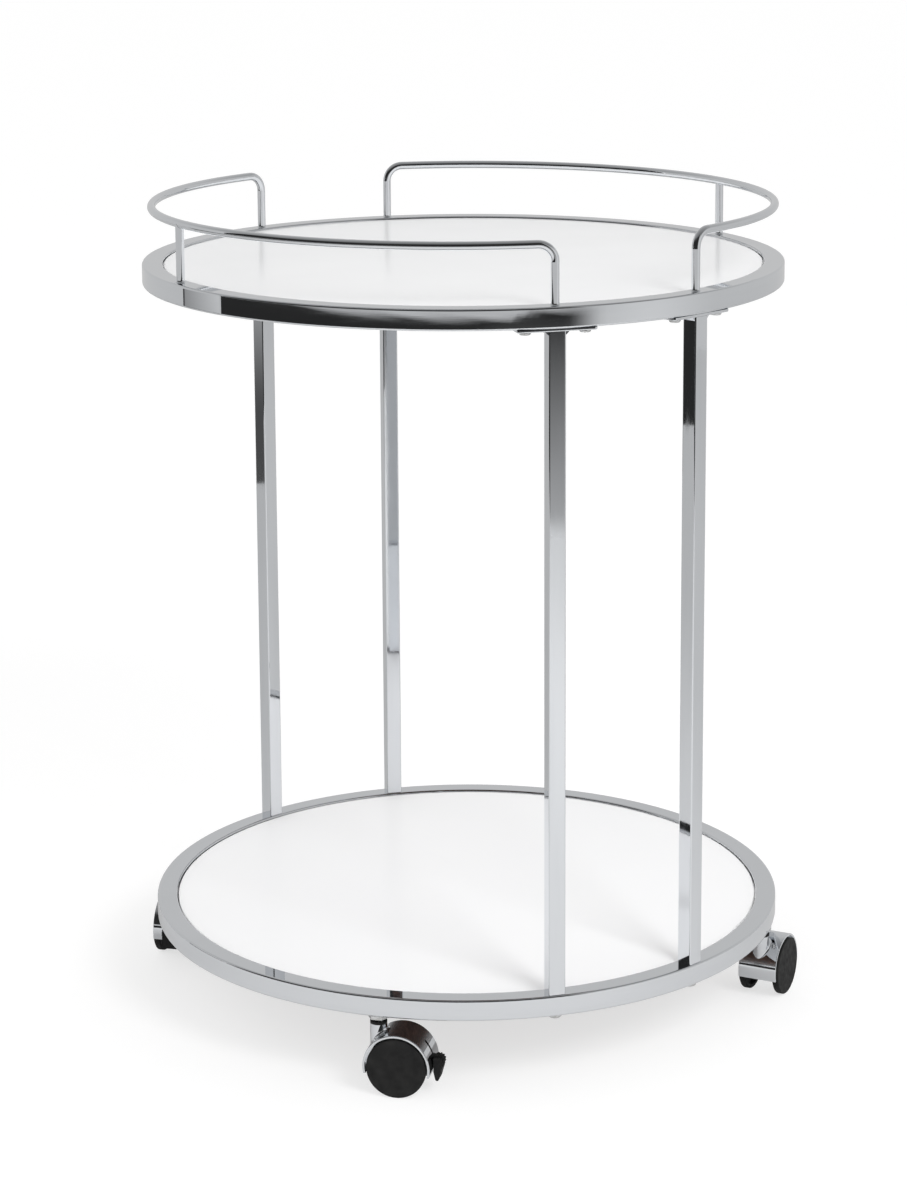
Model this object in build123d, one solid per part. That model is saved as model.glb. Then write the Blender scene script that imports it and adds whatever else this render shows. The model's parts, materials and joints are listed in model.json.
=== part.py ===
from build123d import *
from math import atan2, degrees, sqrt
import os

# A round rolling side table: two square-tube rings with white shelf panels, four posts in two pairs,
# two gallery rails on the top ring and four twin-wheel castors. Millimetres, +Z up, the origin on the
# floor under the centre. The open gaps between the rails face -Y (front) and +Y (rear).
# Every repeated piece is modelled at the front of its ring and turned about Z to its azimuth.

# Rings of square tube
ring_diameter = 470.0
ring_tube = 15.0
ring_wall = 1.2
ring_edge = 1.5

# Shelf panels
panel_thickness = 10.0
panel_recess = 1.5
panel_gap = 0.6
panel_edge = 0.8

# Posts, their foot plugs and the bolts under the lower ring
post_size = 12.0
post_wall = 1.0
post_edge = 1.0
post_length = 466.0
post_spread = 14.3
plug_height = 14.0
bolt_diameter = 6.0
bolt_head_diameter = 10.0
bolt_head_height = 3.0
bolt_end_gap = 1.5

# Head plates that carry the top ring
plate_length = 56.0
plate_width = 13.0
plate_thickness = 2.0
plate_corner = 2.0
plate_edge = 0.8
plate_screw_pitch = 42.0
plate_screw_length = 9.0
weld_leg = 2.6

# Gallery rails and their middle supports
rail_diameter = 6.0
rail_rise = 41.0
rail_bend = 12.0
leg_seat = 4.0
flare_size = 1.3

# Tabs and screws that hold the panels
tab_width = 20.0
tab_reach = 24.0
tab_thickness = 2.0
tab_hole_inset = 14.0
screw_diameter = 4.0
screw_head_diameter = 8.0
screw_head_height = 2.2
screw_crown_share = 0.6
drive_span_share = 0.5
drive_width_share = 0.13
drive_depth_share = 0.6
panel_screw_bite = 7.0

# Castors
castor_spread = 45.5
castor_trail = 15.5
wheel_radius = 21.2
wheel_width = 5.0
wheel_rim = 3.0
wheel_face = 2.0
wheel_hub_diameter = 13.0
wheel_edge = 1.0
core_width = 20.4
core_wall = 2.2
well_gap = 1.2
hood_wall = 1.6
hood_width = 29.4
hood_skirt = 5.0
hood_edge = 0.5
axle_boss_diameter = 13.0
neck_diameter = 12.0
neck_rise = 3.2
neck_blend = 2.0
neck_bore_depth = 15.0
neck_floor = 2.0
axle_diameter = 6.0
bush_thickness = 1.6
stem_diameter = 8.0
stem_engagement = 12.0
collar_width = 13.0
collar_hex_height = 2.7
collar_cone_height = 2.0
collar_foot_diameter = 8.8
nut_width = 12.0
nut_height = 6.5

# Brake lever of a lockable castor
lever_thickness = 2.0
pedal_width = 10.5
pivot_forward = 15.0
pivot_up = 6.0
pivot_diameter = 2.5
pivot_eye_diameter = 6.4
pedal_lobe_diameter = 8.4
pedal_lobe_forward = 27.2
pedal_lobe_up = 2.5
pedal_tip_diameter = 2.6
pedal_tip_forward = 27.0
pedal_tip_down = 9.2
pedal_grooves = 5
pedal_groove_diameter = 1.4
pedal_groove_first = -30.0
pedal_groove_pitch = 30.0
lever_slot_up = 16.5

# Clearances: fixed fits, running fits, faces that pass each other, free holes and welded joints
fit = 0.05
run = 0.05
side_gap = 0.5
lever_gap = 0.2
pedal_gap = 0.7
swivel_gap = 0.3
free_hole = 0.2
weld_gap = 0.05

# How far a cutting shape runs past the face that it opens
overshoot = 1.0

# Radii worked out from the rings
ring_radius = ring_diameter / 2
ring_mid = ring_radius - ring_tube / 2
ring_inner = ring_radius - ring_tube
panel_radius = ring_inner - panel_gap
rail_radius = sqrt(ring_mid**2 - rail_bend**2)
bend_angle = degrees(atan2(rail_bend, rail_radius))

# Heights worked out from the floor up
axle_height = wheel_radius
well_radius = wheel_radius + well_gap
hood_radius = well_radius + hood_wall
hood_bottom = axle_height - hood_skirt
neck_top = axle_height + hood_radius + neck_rise
neck_bore_end = neck_top - neck_bore_depth
bush_top = neck_top + bush_thickness
collar_bottom = bush_top + swivel_gap
hex_bottom = collar_bottom + collar_cone_height
lower_ring_bottom = hex_bottom + collar_hex_height
lower_ring_top = lower_ring_bottom + ring_tube
post_top = lower_ring_top + post_length
upper_ring_bottom = post_top + plate_thickness
upper_ring_top = upper_ring_bottom + ring_tube
rail_height = upper_ring_top + rail_rise
panel_drop = panel_recess + panel_thickness

# Azimuths, counted from the front towards +X
post_azimuths = {
    "front_left": -post_spread,
    "front_right": post_spread,
    "rear_right": 180 - post_spread,
    "rear_left": 180 + post_spread,
}
castor_azimuths = {
    "front_left": -castor_spread,
    "front_right": castor_spread,
    "rear_right": 180 - castor_spread,
    "rear_left": 180 + castor_spread,
}
rail_azimuths = {"right": 90, "left": 270}
tab_azimuths = (0, 90, 180, 270)

# Swivel of each castor from the ring's tangent, and the castors that have a brake
castor_turns = {"front_left": 3.0, "front_right": -11.5, "rear_right": 7.0, "rear_left": 2.0}
braked_castors = ("front_left", "rear_left")

UP = (Align.CENTER, Align.CENTER, Align.MIN)
DOWN = (Align.CENTER, Align.CENTER, Align.MAX)
OUTWARD = Rot(90, 0, 0)
INWARD = Rot(-90, 0, 0)


def at_ring(azimuth, shape, radius=ring_mid):
    """Carry a shape modelled on the Z axis to the ring at an azimuth, its -Y side facing outward."""
    return Rot(0, 0, azimuth) * Pos(0, -radius, 0) * shape


def bore(diameter, bottom, top):
    """An upright cylinder on the Z axis between two heights."""
    return Pos(0, 0, bottom) * Cylinder(diameter / 2, top - bottom, align=UP)


def pan_screw(diameter, head_diameter, head_height, length):
    """A pan-head screw that points up, with the seat of its head at height zero and a cross drive."""
    head = Cylinder(head_diameter / 2, head_height, align=DOWN)
    crown = head.edges().filter_by(GeomType.CIRCLE).sort_by(Axis.Z)[0]
    screw = fillet(crown, head_height * screw_crown_share) + Cylinder(diameter / 2, length, align=UP)
    depth = head_height * drive_depth_share + overshoot
    arm = Box(head_diameter * drive_span_share, head_diameter * drive_width_share, depth, align=UP)
    cross = arm + Rot(0, 0, 90) * arm
    return screw - Pos(0, 0, -head_height - overshoot) * cross


def ring(bottom):
    """One bent ring of square tube."""
    outer = RectangleRounded(ring_tube, ring_tube, ring_edge)
    section = outer - Rectangle(ring_tube - 2 * ring_wall, ring_tube - 2 * ring_wall)
    return revolve(Plane.XZ * Pos(ring_mid, bottom + ring_tube / 2) * section, Axis.Z)


def top_ring():
    tube = ring(upper_ring_bottom)
    leg_hole = bore(rail_diameter + free_hole, upper_ring_top - leg_seat, upper_ring_top + overshoot)
    for azimuth in [*post_azimuths.values(), *rail_azimuths.values()]:
        tube -= at_ring(azimuth, leg_hole)
    inside = upper_ring_bottom + ring_wall + overshoot
    screw_hole = bore(screw_diameter + 2 * fit, upper_ring_bottom - overshoot, inside)
    for azimuth in post_azimuths.values():
        for side in (-1, 1):
            tube -= at_ring(azimuth, Pos(side * plate_screw_pitch / 2, 0, 0) * screw_hole)
    return tube


def bottom_ring():
    tube = ring(lower_ring_bottom)
    under = lower_ring_bottom - overshoot
    bolt_hole = bore(bolt_diameter + 2 * free_hole, under, lower_ring_top + overshoot)
    for azimuth in post_azimuths.values():
        tube -= at_ring(azimuth, bolt_hole)
    inside = lower_ring_bottom + ring_wall + overshoot
    stem_hole = bore(stem_diameter + 2 * free_hole, under, inside)
    for azimuth in castor_azimuths.values():
        tube -= at_ring(azimuth, stem_hole)
    return tube


def shelf_panel(ring_top):
    """A round board that lies on the ring's tabs, with blind holes for its screws."""
    board = Pos(0, 0, ring_top - panel_recess) * Cylinder(panel_radius, panel_thickness, align=DOWN)
    board = fillet(board.edges().filter_by(GeomType.CIRCLE), panel_edge)
    underside = ring_top - panel_drop
    hole_end = underside + panel_screw_bite + side_gap
    hole = bore(screw_diameter + 2 * fit, underside - overshoot, hole_end)
    for azimuth in tab_azimuths:
        board -= at_ring(azimuth, hole, ring_inner - tab_hole_inset)
    return board


def shelf_tabs(ring_top):
    """Four round-nosed tongues welded to the inside of a ring, under its panel."""
    nose = tab_width / 2
    outline = Rectangle(tab_width, tab_reach - nose, align=(Align.CENTER, Align.MIN))
    outline += Pos(0, tab_reach - nose) * Circle(nose)
    outline -= Pos(0, tab_hole_inset) * Circle(screw_diameter / 2 + free_hole)
    tab = extrude(outline, -tab_thickness)
    inside = Cylinder(ring_inner - weld_gap, 2 * (tab_thickness + overshoot))
    tabs = [
        Pos(0, 0, ring_top - panel_drop) * (at_ring(azimuth, tab, ring_inner) & inside)
        for azimuth in tab_azimuths
    ]
    return Compound(tabs)


def panel_screws():
    length = tab_thickness + panel_screw_bite
    screw = pan_screw(screw_diameter, screw_head_diameter, screw_head_height, length)
    seats = [top - panel_drop - tab_thickness for top in (lower_ring_top, upper_ring_top)]
    return Compound(
        [
            at_ring(azimuth, Pos(0, 0, seat) * screw, ring_inner - tab_hole_inset)
            for seat in seats
            for azimuth in tab_azimuths
        ]
    )


def post():
    """An upright square tube, open at both ends."""
    core = post_size - 2 * post_wall
    section = RectangleRounded(post_size, post_size, post_edge) - Rectangle(core, core)
    return Pos(0, 0, lower_ring_top) * extrude(section, post_length)


def post_plug():
    """The threaded block fixed in a post's foot."""
    width = post_size - 2 * post_wall - 2 * fit
    block = Pos(0, 0, lower_ring_top) * Box(width, width, plug_height, align=UP)
    block_top = lower_ring_top + plug_height
    return block - bore(bolt_diameter + 2 * fit, lower_ring_top - overshoot, block_top + overshoot)


def post_bolt():
    length = ring_tube + plug_height - bolt_end_gap
    screw = pan_screw(bolt_diameter, bolt_head_diameter, bolt_head_height, length)
    return Pos(0, 0, lower_ring_bottom) * screw


def head_plate():
    """The flat plate on a post's head, with the weld beads along the post's two free sides."""
    outline = RectangleRounded(plate_length, plate_width, plate_corner)
    plate = Pos(0, 0, post_top) * extrude(outline, plate_thickness)
    plate = fillet(plate.faces().sort_by(Axis.Z)[0].edges(), plate_edge)
    hole = bore(screw_diameter + 2 * free_hole, post_top - overshoot, upper_ring_bottom + overshoot)
    for side in (-1, 1):
        plate -= Pos(side * plate_screw_pitch / 2, 0, 0) * hole
        root = side * (post_size / 2 + weld_gap)
        toe = root + side * weld_leg
        bead = Polyline((root, 0), (toe, 0), (root, -weld_leg), close=True)
        profile = Plane.XZ * Pos(0, post_top) * make_face(bead)
        plate += extrude(profile, (post_size - 2 * post_edge) / 2, both=True)
    return plate


def plate_screws():
    screw = pan_screw(screw_diameter, screw_head_diameter, screw_head_height, plate_screw_length)
    return Compound(
        [
            at_ring(azimuth, Pos(side * plate_screw_pitch / 2, 0, post_top) * screw)
            for azimuth in post_azimuths.values()
            for side in (-1, 1)
        ]
    )


def flare():
    """The weld's concave collar round the foot of a rod that stands on the top ring."""
    rod = rail_diameter / 2
    edge = Polyline((rod, flare_size), (0, flare_size), (0, 0), (rod + flare_size, 0))
    curve = RadiusArc((rod + flare_size, 0), (rod, flare_size), flare_size)
    return Pos(0, 0, upper_ring_top) * revolve(Plane.XZ * make_face(edge + curve), Axis.Z)


def on_rail(azimuth, radius, height):
    """A point at an azimuth, a radius and a height."""
    return (Rot(0, 0, azimuth) * Pos(0, -radius, height)).position


def gallery_rail():
    """A rod bent to the ring's curve, with a tight bend down to a leg at each end, middle at +X."""
    first = post_spread
    last = 180 - post_spread
    foot = on_rail(first, ring_mid, upper_ring_top - leg_seat)
    knee = on_rail(first, ring_mid, rail_height - rail_bend)
    start = on_rail(first + bend_angle, rail_radius, rail_height)
    end = on_rail(last - bend_angle, rail_radius, rail_height)
    far_knee = on_rail(last, ring_mid, rail_height - rail_bend)
    far_foot = on_rail(last, ring_mid, upper_ring_top - leg_seat)
    path = Line(foot, knee)
    path += TangentArc(knee, start, tangent=(0, 0, 1))
    path += ThreePointArc(start, on_rail(90, rail_radius, rail_height), end)
    path += TangentArc(far_knee, end, tangent=(0, 0, 1))
    path += Line(far_knee, far_foot)
    rod = sweep(Plane(foot) * Circle(rail_diameter / 2), path)
    return rod + at_ring(first, flare()) + at_ring(last, flare())


def rail_support():
    """The straight rod under the middle of a rail, its head hollowed to the rail's round."""
    rod = bore(rail_diameter, upper_ring_top - leg_seat, rail_height) + flare()
    saddle = Rot(0, 90, 0) * Cylinder(rail_diameter / 2 + weld_gap, rail_diameter + 2 * overshoot)
    return rod - Pos(0, ring_mid - rail_radius, rail_height) * saddle


def on_axle(shape, side=OUTWARD):
    """Carry a shape modelled on the Z axis to a castor's axle."""
    return Pos(castor_trail, 0, axle_height) * side * shape


def castor_hood(braked):
    """The cast hood over both wheels, with its neck and the hollow core that carries the axle."""
    drum = Cylinder(hood_radius, hood_width)
    drum = fillet(drum.edges().filter_by(GeomType.CIRCLE), hood_edge)
    hood = on_axle(drum) + bore(neck_diameter, axle_height, neck_top)
    joint = hood.edges().filter_by(GeomType.BSPLINE) + hood.edges().filter_by(GeomType.OTHER)
    hood = fillet(joint, neck_blend)
    well = Pos(0, 0, core_width / 2) * Cylinder(well_radius, hood_width, align=UP)
    hood -= on_axle(well)
    hood -= on_axle(well, INWARD)
    hollow = on_axle(Cylinder(well_radius, core_width - 2 * core_wall))
    hood -= hollow - bore(neck_diameter, neck_bore_end - neck_floor, neck_top)
    below = Box(2 * hood_radius + overshoot, hood_width + overshoot, hood_radius, align=DOWN)
    hood -= Pos(castor_trail, 0, hood_bottom) * below
    hood += on_axle(Cylinder(axle_boss_diameter / 2, core_width))
    hood -= on_axle(Cylinder(axle_diameter / 2 + fit, hood_width))
    hood -= bore(stem_diameter + 2 * run, neck_bore_end, neck_top + overshoot)
    if braked:
        hood -= lever_slot()
    return hood


def lever_point(forward, up):
    """Carry a shape to a place in the lever's plane, measured from the axle."""
    return Pos(castor_trail + forward, 0, axle_height + up)


def lever_slot():
    """The room for the blade in the hood's curved wall, with the pin's hole through the core."""
    back = pivot_forward - pivot_eye_diameter / 2 - side_gap
    width = lever_thickness + 2 * lever_gap
    height = hood_skirt + lever_slot_up
    slot = Box(hood_radius, width, height, align=(Align.MIN, Align.CENTER, Align.MIN))
    pin_hole = OUTWARD * Cylinder(pivot_diameter / 2 + fit, core_width + overshoot)
    return lever_point(back, -hood_skirt) * slot + lever_point(pivot_forward, pivot_up) * pin_hole


def brake_lever():
    """A blade with a wide hub on its pin in the hood's core, and a pedal that hugs the hood outside."""
    pivot = Pos(pivot_forward, pivot_up)
    eye = pivot * Circle(pivot_eye_diameter / 2)
    lobe = Pos(pedal_lobe_forward, pedal_lobe_up) * Circle(pedal_lobe_diameter / 2)
    tip = Pos(pedal_tip_forward, -pedal_tip_down) * Circle(pedal_tip_diameter / 2)
    hole = pivot * Circle(pivot_diameter / 2 + run)
    blade = make_hull((eye + lobe).edges()) - hole
    pedal = make_hull((lobe + tip).edges()) - Circle(hood_radius + pedal_gap)
    for step in range(pedal_grooves):
        turn = Rot(0, 0, pedal_groove_first + step * pedal_groove_pitch)
        groove = Pos(pedal_lobe_diameter / 2, 0) * Circle(pedal_groove_diameter / 2)
        pedal -= Pos(pedal_lobe_forward, pedal_lobe_up) * turn * groove
    hub_width = core_width - 2 * (core_wall + lever_gap)
    lever = extrude(eye - hole, hub_width / 2, both=True) + extrude(blade, lever_thickness / 2, both=True)
    return on_axle(lever + extrude(pedal, pedal_width / 2, both=True))


def lever_pin():
    pin = Cylinder(pivot_diameter / 2, core_width - 2 * fit)
    return lever_point(pivot_forward, pivot_up) * OUTWARD * pin


def castor_axle():
    length = core_width + 2 * (wheel_width - wheel_face)
    return on_axle(Cylinder(axle_diameter / 2, length))


def castor_wheel(side):
    """A flat-faced wheel with a blind hub, hollowed on the side that faces the core."""
    disc = Cylinder(wheel_radius, wheel_width, align=UP)
    disc = fillet(disc.edges().filter_by(GeomType.CIRCLE), wheel_edge)
    depth = wheel_width - wheel_face
    hollow = Cylinder(wheel_radius - wheel_rim, depth, align=UP)
    hollow -= Cylinder(wheel_hub_diameter / 2, depth, align=UP)
    hub_bore = Cylinder(axle_diameter / 2 + run, depth, align=UP)
    return on_axle(Pos(0, 0, core_width / 2 + side_gap) * (disc - hollow - hub_bore), side)


def castor_stem():
    """The swivel pin with its tapered hexagon collar and the threaded shank above it."""
    stem = bore(stem_diameter, neck_bore_end + side_gap, lower_ring_bottom + stem_engagement)
    hexagon = RegularPolygon(collar_width / 2, 6, major_radius=False)
    stem += Pos(0, 0, hex_bottom) * extrude(hexagon, collar_hex_height)
    cone = Cone(collar_foot_diameter / 2, collar_width / 2, collar_cone_height, align=UP)
    return stem + Pos(0, 0, collar_bottom) * cone


def neck_bush():
    """The slide washer on top of the hood's neck."""
    hole = bore(stem_diameter + 2 * run, neck_top - overshoot, bush_top + overshoot)
    return bore(neck_diameter, neck_top, bush_top) - hole


def castor_nut():
    """The square weld nut on the floor of the lower ring's tube."""
    floor = lower_ring_bottom + ring_wall
    block = Pos(0, 0, floor) * Box(nut_width, nut_width, nut_height, align=UP)
    hole = bore(stem_diameter + 2 * fit, floor - overshoot, floor + nut_height + overshoot)
    return block - hole


def assembly():
    """Every node of the table by name."""
    nodes = {
        "top_ring": top_ring(),
        "bottom_ring": bottom_ring(),
        "top_shelf_panel": shelf_panel(upper_ring_top),
        "bottom_shelf_panel": shelf_panel(lower_ring_top),
        "top_shelf_tabs": shelf_tabs(upper_ring_top),
        "bottom_shelf_tabs": shelf_tabs(lower_ring_top),
        "panel_screws": panel_screws(),
        "plate_screws": plate_screws(),
        "post_plugs": Compound([at_ring(azimuth, post_plug()) for azimuth in post_azimuths.values()]),
        "post_bolts": Compound([at_ring(azimuth, post_bolt()) for azimuth in post_azimuths.values()]),
        "castor_nuts": Compound([at_ring(azimuth, castor_nut()) for azimuth in castor_azimuths.values()]),
    }
    for place, azimuth in post_azimuths.items():
        nodes[f"{place}_post"] = at_ring(azimuth, post())
        nodes[f"{place}_head_plate"] = at_ring(azimuth, head_plate())
    for place, azimuth in rail_azimuths.items():
        nodes[f"{place}_rail"] = Rot(0, 0, azimuth - 90) * gallery_rail()
        nodes[f"{place}_rail_support"] = at_ring(azimuth, rail_support())
    for place, azimuth in castor_azimuths.items():
        braked = place in braked_castors
        pieces = {
            "stem": castor_stem(),
            "bush": neck_bush(),
            "hood": castor_hood(braked),
            "axle": castor_axle(),
            "outer_wheel": castor_wheel(OUTWARD),
            "inner_wheel": castor_wheel(INWARD),
        }
        if braked:
            pieces["brake_lever"] = brake_lever()
            pieces["lever_pin"] = lever_pin()
        for piece, shape in pieces.items():
            nodes[f"{place}_castor_{piece}"] = at_ring(azimuth, Rot(0, 0, castor_turns[place]) * shape)
    return nodes


os.makedirs("parts", exist_ok=True)
for name, shape in assembly().items():
    export_step(shape, f"parts/{name}.step")
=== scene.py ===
import json
from math import cos, radians, sin

import bpy
from mathutils import Matrix, Vector


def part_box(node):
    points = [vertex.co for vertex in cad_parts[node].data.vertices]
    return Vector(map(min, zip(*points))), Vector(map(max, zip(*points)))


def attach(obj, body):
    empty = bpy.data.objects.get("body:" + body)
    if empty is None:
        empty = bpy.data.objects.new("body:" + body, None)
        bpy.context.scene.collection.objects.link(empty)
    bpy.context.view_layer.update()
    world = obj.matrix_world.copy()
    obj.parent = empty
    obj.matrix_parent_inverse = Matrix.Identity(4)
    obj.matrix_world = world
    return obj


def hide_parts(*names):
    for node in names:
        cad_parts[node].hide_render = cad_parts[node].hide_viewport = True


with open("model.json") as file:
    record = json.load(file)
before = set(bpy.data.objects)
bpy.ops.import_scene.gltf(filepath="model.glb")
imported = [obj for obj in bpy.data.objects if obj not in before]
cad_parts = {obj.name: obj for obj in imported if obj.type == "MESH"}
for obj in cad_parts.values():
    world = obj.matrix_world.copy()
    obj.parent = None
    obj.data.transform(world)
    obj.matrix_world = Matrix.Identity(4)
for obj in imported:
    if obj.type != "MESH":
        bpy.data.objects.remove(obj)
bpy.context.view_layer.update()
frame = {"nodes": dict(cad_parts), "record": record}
nodes = frame["nodes"]

# Camera: metres and degrees in the part's frame, with the focal length in pixels of the whole picture
PICTURE_HEIGHT = 1191
FOCAL_PIXELS = 3043.7
CAMERA_AZIMUTH = -29.64
CAMERA_DISTANCE = 2.2137
CAMERA_SIDE = -0.0076
CAMERA_HEIGHT = 0.8842
CAMERA_PITCH = 10.852
CAMERA_ROLL = -0.333
CAMERA_SHIFT = -0.18
SENSOR = 36.0

# Studio: a pale floor, light from all round, and a soft lamp at an azimuth from the camera
FLOOR_SIZE = 60.0
FLOOR_GLOW = 0.64
FLOOR_SEEN = 0.42
FLOOR_LIT = 0.85
POOL_PALE = 0.58
POOL_GLOW = 0.21
POOL_PLACE = 0.8
POOL_START = 0.4
POOL_END = 1.3
DIM_PALE = 0.45
DIM_GLOW = 0.13
SKY_LOW = 1.68
SKY_LOW_UP_TO = 0.45
SKY_HIGH = 0.1
SKY_HIGH_FROM = 0.9
SKY_SEEN = 1.0
LAMP_AZIMUTH = 33.0
LAMP_DISTANCE = 2.1
LAMP_HEIGHT = 1.8
LAMP_SIZE = 0.9
LAMP_POWER = 25.0

# The dark room: an upright screen in metres and degrees from the camera's azimuth, and its brightness
ROOM_START = -89.3
ROOM_END = 47.0
ROOM_START_RADIUS = 2.1
ROOM_END_RADIUS = 1.8
SCREEN_COLUMNS = 64
SCREEN_ROWS = 240
ROOM_FADE = 14.0
ROOM_DARK = 0.025
ROOM_DIM_FROM = 1.5
ROOM_GLOW = 0.48
ROOM_GLOW_TOP = 0.29
ROOM_GLOW_START = -10.0
ROOM_GLOW_END = 20.0
ROOM_FOOT_GLOW = 0.27
ROOM_FOOT_TOP = 0.03

# A pale strip across the dark room: azimuths and heights along its lower edge, its height and brightness
STRIP_EDGE = (
    (-90, 0.262), (-70, 0.246), (-32, 0.249), (15, 0.262), (21, 0.271), (31, 0.276), (47, 0.281),
)
STRIP_SOFT = 0.008
STRIP_HEIGHT = 0.1
STRIP_TOP_SOFT = 0.06
STRIP_GREY = 0.58

# Grey walls of the room and its dim ceiling, which is dark over the camera and paler far off
WALL_RADIUS = 3.0
WALL_GREY = 0.59
WALL_TOP = 1.3
WALL_PALE = 0.14
WALL_PALE_AZIMUTH = 66.0
WALL_PALE_WIDTH = 32.0
CEILING_HEIGHT = 2.6
CEILING_GREY = 0.32
CEILING_SLOPE = 0.26
CEILING_SIDES = 64

# A low dark bench on the left
BENCH_DISTANCE = 1.72
BENCH_START = -110.0
BENCH_END = -89.3
BENCH_HEIGHT = 0.31
BENCH_DARK = 0.08
BENCH_TOP = 0.09
BENCH_GREYS = ((-110, 0.06), (-109.2, 0.06), (-108.8, 0.33), (-89.3, 0.64))

# Rings with a finer mesh than the CAD nodes: metres and counts
RING_EDGE = 0.0015
RING_TURNS = 240
RING_CORNER = 6

# Marks in the plating: how the pattern is stretched along the posts and round the rings and rails
ALONG_POST = (1, 1, 0.1)
ALONG_RING = (0.1, 0.1, 1)

# Grain of the finishes, in waves per metre, with depths in metres
CHROME_TINT_GRAIN = 90
CHROME_HAZE_GRAIN = 260
CHROME_WAVE_GRAIN = 20
CHROME_BUFF_GRAIN = 900
CHROME_CLEAREST = 0.3
CHROME_BUFF_SHARE = 0.02
BOARD_TINT_GRAIN = 4
BOARD_GLOSS_GRAIN = 9
BOARD_PEEL_GRAIN = 420
BOARD_PEEL_DEPTH = 0.000003
FIBRE_GRAIN = 420
FIBRE_STRETCH = (1, 0.35, 1)
PLASTIC_DUST_GRAIN = 110
PLASTIC_GLOSS_GRAIN = 240
PLASTIC_SKIN_GRAIN = 2600
PLASTIC_SKIN_DEPTH = 0.00002
ZINC_TINT_GRAIN = 300
ZINC_GLOSS_GRAIN = 700
ZINC_MARK_GRAIN = 900
ZINC_MARK_STRETCH = (0.3, 0.3, 4)
ZINC_MARK_DEPTH = 0.00003

# Most of a noise lies between these two values, and a face looks down below this share of upright
NOISE_LOW = 0.3
NOISE_HIGH = 0.7
FACING_DOWN = -0.7

# Shine of the lacquer and of the plastic
BOARD_SHINE = 0.08
PLASTIC_SHINE = 0.14

# Colours
CHROME_LIGHT = (0.77, 0.788, 0.812)
CHROME_DEEP = (0.74, 0.758, 0.782)
BOARD_WHITE = (0.95, 0.952, 0.958)
BOARD_SHADE = (0.935, 0.938, 0.946)
# Brown fibreboard on the undersides, made darker than the raw board as painted shade
BOARD_BARE_AND_SHADE = (0.085, 0.044, 0.032)
BOARD_FIBRE_AND_SHADE = (0.052, 0.026, 0.019)
PLASTIC_BLACK = (0.011, 0.011, 0.0112)
PLASTIC_WORN = (0.02, 0.02, 0.0195)
ZINC_LIGHT = (0.72, 0.73, 0.74)
ZINC_DEEP = (0.55, 0.55, 0.54)


class Shader:
    """A principled material and the node helpers that give it its detail."""

    def __init__(self, name):
        self.material = bpy.data.materials.new(name)
        self.material.use_nodes = True
        self.nodes = self.material.node_tree.nodes
        self.links = self.material.node_tree.links
        self.surface = self.nodes["Principled BSDF"]
        self.places = self.nodes.new("ShaderNodeTexCoord")

    def link(self, value, socket):
        self.links.new(value, socket)

    def scaled(self, factors):
        """The object's own coordinates, stretched along its axes."""
        mapping = self.nodes.new("ShaderNodeMapping")
        mapping.inputs["Scale"].default_value = factors
        self.link(self.places.outputs["Object"], mapping.inputs["Vector"])
        return mapping.outputs["Vector"]

    def noise(self, scale, detail=3.0, stretch=(1, 1, 1)):
        node = self.nodes.new("ShaderNodeTexNoise")
        node.inputs["Scale"].default_value = scale
        node.inputs["Detail"].default_value = detail
        self.link(self.scaled(stretch), node.inputs["Vector"])
        return node.outputs["Fac"]

    def ramp(self, value, low, high, start=0.35, end=0.65):
        """A blend between two colours over a span of a value."""
        node = self.nodes.new("ShaderNodeValToRGB")
        first, last = node.color_ramp.elements
        first.position, last.position = start, end
        first.color, last.color = (*low, 1), (*high, 1)
        self.link(value, node.inputs["Fac"])
        return node.outputs["Color"]

    def spread(self, value, low, high):
        """A noise carried to a span of its own."""
        node = self.nodes.new("ShaderNodeMapRange")
        node.inputs["From Min"].default_value = NOISE_LOW
        node.inputs["From Max"].default_value = NOISE_HIGH
        node.inputs["To Min"].default_value = low
        node.inputs["To Max"].default_value = high
        self.link(value, node.inputs["Value"])
        return node.outputs["Result"]

    def mix(self, factor, first, second):
        node = self.nodes.new("ShaderNodeMix")
        node.data_type = "RGBA"
        self.link(factor, node.inputs["Factor"])
        self.link(first, node.inputs["A"])
        self.link(second, node.inputs["B"])
        return node.outputs["Result"]

    def facing_down(self):
        """One on faces that look down, and nothing elsewhere."""
        split = self.nodes.new("ShaderNodeSeparateXYZ")
        self.link(self.places.outputs["Normal"], split.inputs["Vector"])
        test = self.nodes.new("ShaderNodeMath")
        test.operation = "LESS_THAN"
        test.inputs[1].default_value = FACING_DOWN
        self.link(split.outputs["Z"], test.inputs[0])
        return test.outputs["Value"]

    def bump(self, value, depth, below=None):
        node = self.nodes.new("ShaderNodeBump")
        node.inputs["Distance"].default_value = depth
        self.link(value, node.inputs["Height"])
        if below is not None:
            self.link(below, node.inputs["Normal"])
        return node.outputs["Normal"]

    def finish(self, colour, roughness, normal):
        self.link(colour, self.surface.inputs["Base Color"])
        self.link(roughness, self.surface.inputs["Roughness"])
        self.link(normal, self.surface.inputs["Normal"])
        return self.material


def chrome(name, wave, haze, along):
    """Polished plating: slow waves from bending, buffing marks along the tube and an uneven haze."""
    shader = Shader(name)
    shader.surface.inputs["Metallic"].default_value = 1.0
    tint = shader.noise(CHROME_TINT_GRAIN, stretch=along)
    colour = shader.ramp(tint, CHROME_DEEP, CHROME_LIGHT, start=0.25, end=0.6)
    mist = shader.noise(CHROME_HAZE_GRAIN, stretch=along)
    roughness = shader.spread(mist, haze * CHROME_CLEAREST, haze)
    ripple = shader.bump(shader.noise(CHROME_WAVE_GRAIN, detail=1), wave)
    marks = shader.noise(CHROME_BUFF_GRAIN, detail=2, stretch=along)
    buffing = shader.bump(marks, wave * CHROME_BUFF_SHARE, ripple)
    return shader.finish(colour, roughness, buffing)


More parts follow.
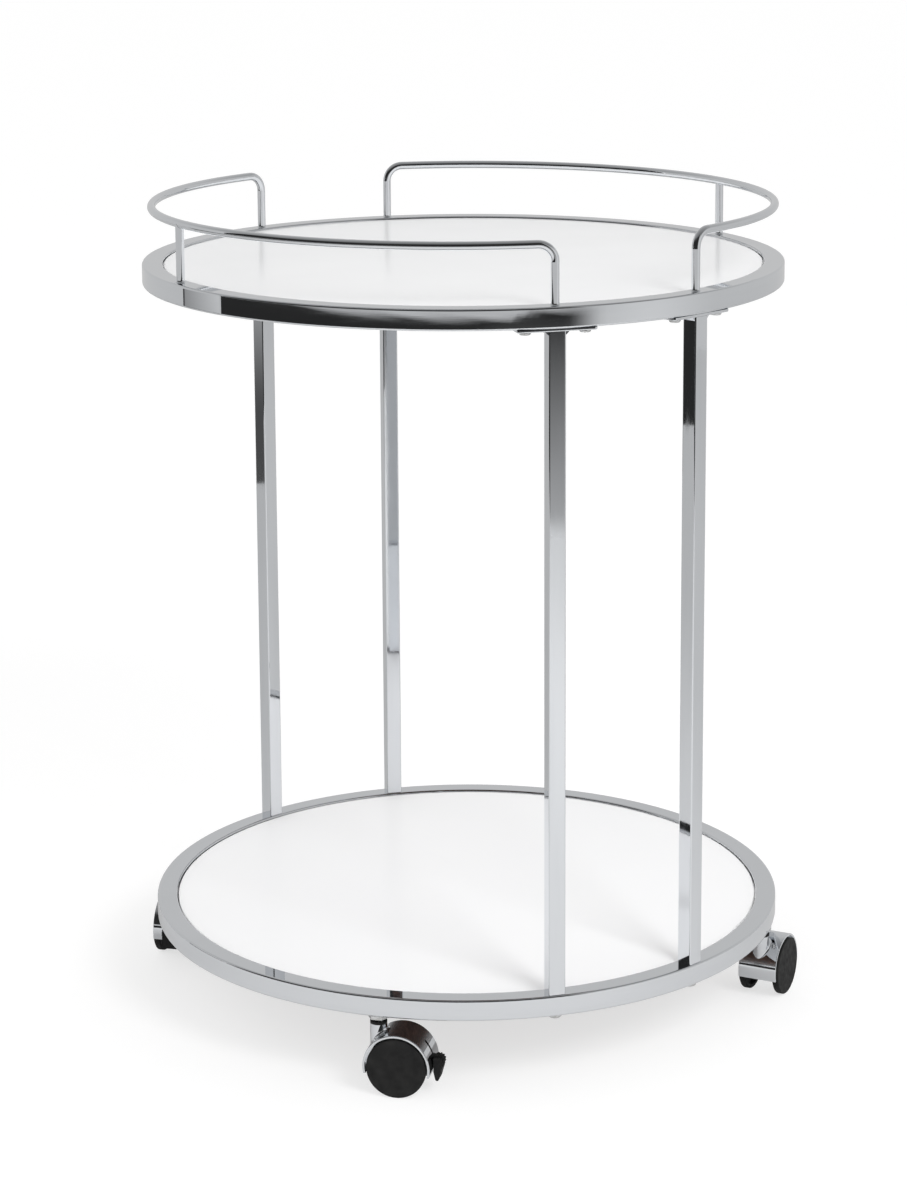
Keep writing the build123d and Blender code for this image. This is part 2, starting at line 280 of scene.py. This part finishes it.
def lacquered_board():
    """White lacquer with faint orange peel above and on the edge, and brown unlacquered fibreboard
    below, darkened as painted shade.
    """
    shader = Shader("white_board")
    shader.surface.inputs["Specular IOR Level"].default_value = BOARD_SHINE
    tint = shader.noise(BOARD_TINT_GRAIN, detail=2)
    white = shader.ramp(tint, BOARD_SHADE, BOARD_WHITE, start=0.3, end=0.6)
    # Faces that look down take brown fibreboard, darkened as painted shade
    fibre = shader.noise(FIBRE_GRAIN, detail=5, stretch=FIBRE_STRETCH)
    bare_and_shade = shader.ramp(fibre, BOARD_FIBRE_AND_SHADE, BOARD_BARE_AND_SHADE)
    colour = shader.mix(shader.facing_down(), white, bare_and_shade)
    roughness = shader.spread(shader.noise(BOARD_GLOSS_GRAIN, detail=2), low=0.15, high=0.19)
    peel = shader.bump(shader.noise(BOARD_PEEL_GRAIN, detail=1), BOARD_PEEL_DEPTH)
    return shader.finish(colour, roughness, peel)


def black_plastic():
    """Matt moulded nylon with a fine grain and a little rubbed-in dust."""
    shader = Shader("black_plastic")
    shader.surface.inputs["Specular IOR Level"].default_value = PLASTIC_SHINE
    dust = shader.noise(PLASTIC_DUST_GRAIN, detail=5)
    colour = shader.ramp(dust, PLASTIC_BLACK, PLASTIC_WORN, start=0.42, end=0.78)
    roughness = shader.spread(shader.noise(PLASTIC_GLOSS_GRAIN), low=0.5, high=0.7)
    skin = shader.bump(shader.noise(PLASTIC_SKIN_GRAIN, detail=2), PLASTIC_SKIN_DEPTH)
    return shader.finish(colour, roughness, skin)


def zinc():
    """Bright zinc on turned and pressed steel, with fine marks round the part."""
    shader = Shader("zinc_steel")
    shader.surface.inputs["Metallic"].default_value = 1.0
    colour = shader.ramp(shader.noise(ZINC_TINT_GRAIN, detail=4), ZINC_DEEP, ZINC_LIGHT)
    roughness = shader.spread(shader.noise(ZINC_GLOSS_GRAIN, detail=4), low=0.16, high=0.34)
    turning = shader.noise(ZINC_MARK_GRAIN, detail=2, stretch=ZINC_MARK_STRETCH)
    return shader.finish(colour, roughness, shader.bump(turning, ZINC_MARK_DEPTH))


def dress(node, material):
    """Give a CAD node its material in place of the plain one."""
    node.data.materials.clear()
    node.data.materials.append(material)


def dress_nodes():
    """Every node takes the material of its slot in the record."""
    upright = chrome("upright_chrome", wave=0.00005, haze=0.05, along=ALONG_POST)
    looks = {
        "chrome_tube": chrome("bent_chrome", wave=0.00002, haze=0.03, along=ALONG_RING),
        "castor_chrome": chrome("castor_chrome", wave=0.00004, haze=0.04, along=ALONG_RING),
        "white_board": lacquered_board(),
        "black_plastic": black_plastic(),
        "steel": zinc(),
    }
    for subpart in frame["record"]["subparts"]:
        node = subpart["node"]
        dress(nodes[node], upright if node.endswith("_post") else looks[subpart["material_slot"]])
    for node in ("top_ring", "bottom_ring"):
        smooth_ring(node, looks["chrome_tube"])


def smooth_ring(node, material):
    """A ring of the node's own size with a finer mesh, so that its long reflections run unbroken."""
    low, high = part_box(node)
    half = (high[2] - low[2]) / 2
    reach = half - RING_EDGE
    outline = []
    for corner in range(4):
        across = 1 if corner in (0, 3) else -1
        along = 1 if corner in (0, 1) else -1
        for step in range(RING_CORNER + 1):
            turn = radians(90 * (corner + step / RING_CORNER))
            radius = high[0] - half + across * reach + RING_EDGE * cos(turn)
            height = low[2] + half + along * reach + RING_EDGE * sin(turn)
            outline.append((radius, height, turn))
    points = []
    normals = []
    for step in range(RING_TURNS):
        around = radians(360 * step / RING_TURNS)
        for radius, height, turn in outline:
            points.append((radius * cos(around), radius * sin(around), height))
            normals.append((cos(turn) * cos(around), cos(turn) * sin(around), sin(turn)))
    faces = []
    for step in range(RING_TURNS):
        here = step * len(outline)
        there = (step + 1) % RING_TURNS * len(outline)
        for spot in range(len(outline)):
            next_spot = (spot + 1) % len(outline)
            faces.append((here + spot, there + spot, there + next_spot, here + next_spot))
    mesh = bpy.data.meshes.new(f"{node}_smooth")
    mesh.from_pydata(points, [], faces)
    mesh.shade_smooth()
    mesh.normals_split_custom_set_from_vertices(normals)
    mesh.materials.append(material)
    piece = bpy.data.objects.new(f"{node}_smooth", mesh)
    bpy.context.scene.collection.objects.link(piece)
    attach(piece, "frame")
    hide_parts(node)


def background_rays(tree, kinds):
    """One for camera rays and the other kinds of ray that should see a white studio."""
    path = tree.nodes.new("ShaderNodeLightPath")
    total = path.outputs["Is Camera Ray"]
    for kind in kinds:
        larger = tree.nodes.new("ShaderNodeMath")
        larger.operation = "MAXIMUM"
        tree.links.new(total, larger.inputs[0])
        tree.links.new(path.outputs[kind], larger.inputs[1])
        total = larger.outputs["Value"]
    return total


def floor_look(tree, pale, glow):
    """A pale matt floor with some light of its own."""
    matt = tree.nodes.new("ShaderNodeBsdfDiffuse")
    matt.inputs["Color"].default_value = (pale, pale, pale, 1)
    light = tree.nodes.new("ShaderNodeEmission")
    light.inputs["Strength"].default_value = glow
    both = tree.nodes.new("ShaderNodeAddShader")
    tree.links.new(matt.outputs["BSDF"], both.inputs[0])
    tree.links.new(light.outputs["Emission"], both.inputs[1])
    return both.outputs["Shader"]


def pool_of_light(tree):
    """One on the floor in front of the object, falling to nothing further away."""
    place = tree.nodes.new("ShaderNodeTexCoord")
    away = tree.nodes.new("ShaderNodeVectorMath")
    away.operation = "DISTANCE"
    away.inputs[1].default_value = round_the_object(0, POOL_PLACE, 0)
    tree.links.new(place.outputs["Object"], away.inputs[0])
    share = tree.nodes.new("ShaderNodeMapRange")
    share.interpolation_type = "SMOOTHSTEP"
    share.inputs["From Min"].default_value = POOL_START
    share.inputs["From Max"].default_value = POOL_END
    share.inputs["To Min"].default_value = 1
    share.inputs["To Max"].default_value = 0
    tree.links.new(away.outputs["Value"], share.inputs["Value"])
    return share.outputs["Result"]


def floor_material():
    """White to the eye and paler in front in reflections, with the object's shadow kept in both."""
    material = bpy.data.materials.new("studio_floor")
    material.use_nodes = True
    tree = material.node_tree
    tree.nodes.clear()
    mirrored = tree.nodes.new("ShaderNodeMixShader")
    tree.links.new(pool_of_light(tree), mirrored.inputs["Fac"])
    tree.links.new(floor_look(tree, DIM_PALE, DIM_GLOW), mirrored.inputs[1])
    tree.links.new(floor_look(tree, POOL_PALE, POOL_GLOW), mirrored.inputs[2])
    path = tree.nodes.new("ShaderNodeLightPath")
    lit = tree.nodes.new("ShaderNodeMixShader")
    tree.links.new(path.outputs["Is Glossy Ray"], lit.inputs["Fac"])
    tree.links.new(floor_look(tree, FLOOR_LIT, 0), lit.inputs[1])
    tree.links.new(mirrored.outputs["Shader"], lit.inputs[2])
    seen = tree.nodes.new("ShaderNodeMixShader")
    tree.links.new(background_rays(tree, ["Is Transmission Ray"]), seen.inputs["Fac"])
    tree.links.new(lit.outputs["Shader"], seen.inputs[1])
    tree.links.new(floor_look(tree, FLOOR_SEEN, FLOOR_GLOW), seen.inputs[2])
    output = tree.nodes.new("ShaderNodeOutputMaterial")
    tree.links.new(seen.outputs["Shader"], output.inputs["Surface"])
    return material


def mesh_object(name, points, faces, material):
    mesh = bpy.data.meshes.new(name)
    mesh.from_pydata(points, [], faces)
    piece = bpy.data.objects.new(name, mesh)
    piece.data.materials.append(material)
    bpy.context.scene.collection.objects.link(piece)
    return piece


def lay_floor():
    half = FLOOR_SIZE / 2
    corners = [(-half, -half, 0), (half, -half, 0), (half, half, 0), (-half, half, 0)]
    mesh_object("floor", corners, [(0, 1, 2, 3)], floor_material())


def round_the_object(azimuth, radius, height):
    """A point at an azimuth counted from the camera's side, towards the right in the picture."""
    turn = radians(CAMERA_AZIMUTH + azimuth)
    return (radius * sin(turn), -radius * cos(turn), height)


def ease(value, start, end):
    """A smooth step from 0 at start to 1 at end."""
    share = min(1.0, max(0.0, (value - start) / (end - start)))
    return share * share * (3 - 2 * share)


def between(pairs, place):
    """The value at a place, on straight lines between pairs of place and value."""
    for (start, first), (end, last) in zip(pairs, pairs[1:]):
        if place <= end:
            return first + (last - first) * max(0.0, place - start) / (end - start)
    return pairs[-1][1]


def rim_light(azimuth):
    """The ceiling's rim: dark over the camera and paler on the far side."""
    return CEILING_GREY - CEILING_SLOPE * cos(radians(azimuth))


def room_light(azimuth, height):
    """Dark, with a pale strip, a glow near the floor on the right, and pale at its right end."""
    top = ROOM_DARK + (rim_light(azimuth) - ROOM_DARK) * ease(height, ROOM_DIM_FROM, CEILING_HEIGHT)
    foot = ROOM_FOOT_GLOW * (1 - ease(height, 0, ROOM_FOOT_TOP))
    lit = ease(azimuth, ROOM_GLOW_START, ROOM_GLOW_END)
    glow = lit * (ROOM_GLOW * max(0.0, 1 - height / ROOM_GLOW_TOP) + foot)
    edge = between(STRIP_EDGE, azimuth)
    strip_top = edge + STRIP_HEIGHT
    strip = ease(height, edge, edge + STRIP_SOFT)
    strip *= 1 - ease(height, strip_top, strip_top + STRIP_TOP_SOFT)
    level = max(top, glow, STRIP_GREY * strip)
    end = ease(azimuth, ROOM_END - ROOM_FADE, ROOM_END)
    return level * (1 - end) + wall_light(azimuth, height) * end


def bench_light(azimuth, height):
    """Dark low down, and paler above from its left end to its right one."""
    pale = between(BENCH_GREYS, azimuth)
    return BENCH_DARK + (pale - BENCH_DARK) * ease(height, BENCH_TOP, BENCH_HEIGHT)


def wall_light(azimuth, height):
    """Grey and paler on the right, with the ceiling's brightness at the top."""
    grey = WALL_GREY + WALL_PALE * (1 - ease(abs(azimuth - WALL_PALE_AZIMUTH), 0, WALL_PALE_WIDTH))
    return grey + (rim_light(azimuth) - grey) * ease(height, WALL_TOP, CEILING_HEIGHT)


def screen_material():
    material = bpy.data.materials.new("dark_screen")
    material.use_nodes = True
    tree = material.node_tree
    tree.nodes.clear()
    output = tree.nodes.new("ShaderNodeOutputMaterial")
    level = tree.nodes.new("ShaderNodeAttribute")
    level.attribute_name = "level"
    glow = tree.nodes.new("ShaderNodeEmission")
    tree.links.new(level.outputs["Fac"], glow.inputs["Strength"])
    tree.links.new(glow.outputs["Emission"], output.inputs["Surface"])
    return material


def stand_screen(name, start, end, radii, height, light):
    """A bent upright screen that only the mirror surfaces see, with its brightness point by point."""
    points = []
    levels = []
    for column in range(SCREEN_COLUMNS + 1):
        share = column / SCREEN_COLUMNS
        azimuth = start + (end - start) * share
        radius = radii[0] + (radii[1] - radii[0]) * share
        for row in range(SCREEN_ROWS + 1):
            level_height = height * (row / SCREEN_ROWS) ** 2
            points.append(round_the_object(azimuth, radius, level_height))
            levels.append(light(azimuth, level_height))
    faces = []
    for column in range(SCREEN_COLUMNS):
        for row in range(SCREEN_ROWS):
            corner = column * (SCREEN_ROWS + 1) + row
            faces.append((corner, corner + SCREEN_ROWS + 1, corner + SCREEN_ROWS + 2, corner + 1))
    shade_screen(mesh_object(name, points, faces, screen_material()), levels)


def shade_screen(screen, levels):
    """Give a screen its brightness, and hide it from all but the mirror surfaces."""
    screen.data.attributes.new("level", "FLOAT", "POINT").data.foreach_set("value", levels)
    screen.visible_camera = False
    screen.visible_diffuse = False
    screen.visible_transmission = False
    screen.visible_shadow = False


def stand_dark_room():
    """The unlit part of the studio round the camera, the pale walls of the rest and the ceiling."""
    radii = (ROOM_START_RADIUS, ROOM_END_RADIUS)
    stand_screen("dark_room", ROOM_START, ROOM_END, radii, CEILING_HEIGHT, room_light)
    walls = (WALL_RADIUS, WALL_RADIUS)
    stand_screen("walls", ROOM_END, ROOM_START + 360, walls, CEILING_HEIGHT, wall_light)
    bench = (BENCH_DISTANCE, BENCH_DISTANCE)
    stand_screen("dark_bench", BENCH_START, BENCH_END, bench, BENCH_HEIGHT, bench_light)
    turns = [360 * side / CEILING_SIDES for side in range(CEILING_SIDES)]
    points = [round_the_object(turn, WALL_RADIUS, CEILING_HEIGHT) for turn in turns]
    points.append((0, 0, CEILING_HEIGHT))
    slices = [(side, (side + 1) % CEILING_SIDES, CEILING_SIDES) for side in range(CEILING_SIDES)]
    ceiling = mesh_object("ceiling", points, slices, screen_material())
    shade_screen(ceiling, [rim_light(turn) for turn in turns] + [CEILING_GREY])


def light_world():
    """White to the eye and in mirrors; other light is bright low down all round and dimmer above."""
    world = bpy.data.worlds.new("studio")
    bpy.context.scene.world = world
    world.use_nodes = True
    tree = world.node_tree
    direction = tree.nodes.new("ShaderNodeTexCoord")
    split = tree.nodes.new("ShaderNodeSeparateXYZ")
    tree.links.new(direction.outputs["Generated"], split.inputs["Vector"])
    height = tree.nodes.new("ShaderNodeMapRange")
    height.inputs["From Min"].default_value = SKY_LOW_UP_TO
    height.inputs["From Max"].default_value = SKY_HIGH_FROM
    height.inputs["To Min"].default_value = SKY_LOW
    height.inputs["To Max"].default_value = SKY_HIGH
    tree.links.new(split.outputs["Z"], height.inputs["Value"])
    strength = tree.nodes.new("ShaderNodeMapRange")
    kinds = ["Is Glossy Ray", "Is Transmission Ray"]
    tree.links.new(background_rays(tree, kinds), strength.inputs["Value"])
    tree.links.new(height.outputs["Result"], strength.inputs["To Min"])
    strength.inputs["To Max"].default_value = SKY_SEEN
    sky = tree.nodes["Background"]
    sky.inputs["Color"].default_value = (1, 1, 1, 1)
    tree.links.new(strength.outputs["Result"], sky.inputs["Strength"])


def stand_lamp():
    """A large soft lamp that the mirror surfaces don't show."""
    lamp = bpy.data.lights.new("soft_lamp", "AREA")
    lamp.shape = "SQUARE"
    lamp.size = LAMP_SIZE
    lamp.energy = LAMP_POWER
    holder = bpy.data.objects.new("soft_lamp", lamp)
    place = Vector(round_the_object(LAMP_AZIMUTH, LAMP_DISTANCE, LAMP_HEIGHT))
    holder.location = place
    holder.rotation_euler = (-place).to_track_quat("-Z", "Y").to_euler()
    holder.visible_camera = False
    holder.visible_glossy = False
    bpy.context.scene.collection.objects.link(holder)


def place_camera():
    """The photograph's viewpoint, from the camera's place, pitch and roll."""
    data = bpy.data.cameras.new("camera")
    data.sensor_width = SENSOR
    data.lens = FOCAL_PIXELS / PICTURE_HEIGHT * SENSOR
    data.shift_y = CAMERA_SHIFT
    camera = bpy.data.objects.new("camera", data)
    turn, pitch, roll = radians(CAMERA_AZIMUTH), radians(CAMERA_PITCH), radians(CAMERA_ROLL)
    ahead = Vector((-sin(turn), cos(turn), 0))
    side = Vector((cos(turn), sin(turn), 0))
    upright = Vector((0, 0, 1))
    forward = ahead * cos(pitch) - upright * sin(pitch)
    up = ahead * sin(pitch) + upright * cos(pitch)
    right = side * cos(roll) + up * sin(roll)
    top = up * cos(roll) - side * sin(roll)
    place = side * CAMERA_SIDE - ahead * CAMERA_DISTANCE + upright * CAMERA_HEIGHT
    axes = Matrix((right, top, -forward)).transposed().to_4x4()
    camera.matrix_world = Matrix.Translation(place) @ axes
    bpy.context.scene.collection.objects.link(camera)
    bpy.context.scene.camera = camera


dress_nodes()
lay_floor()
stand_dark_room()
light_world()
stand_lamp()
place_camera()
bpy.context.scene.view_settings.view_transform = "Standard"
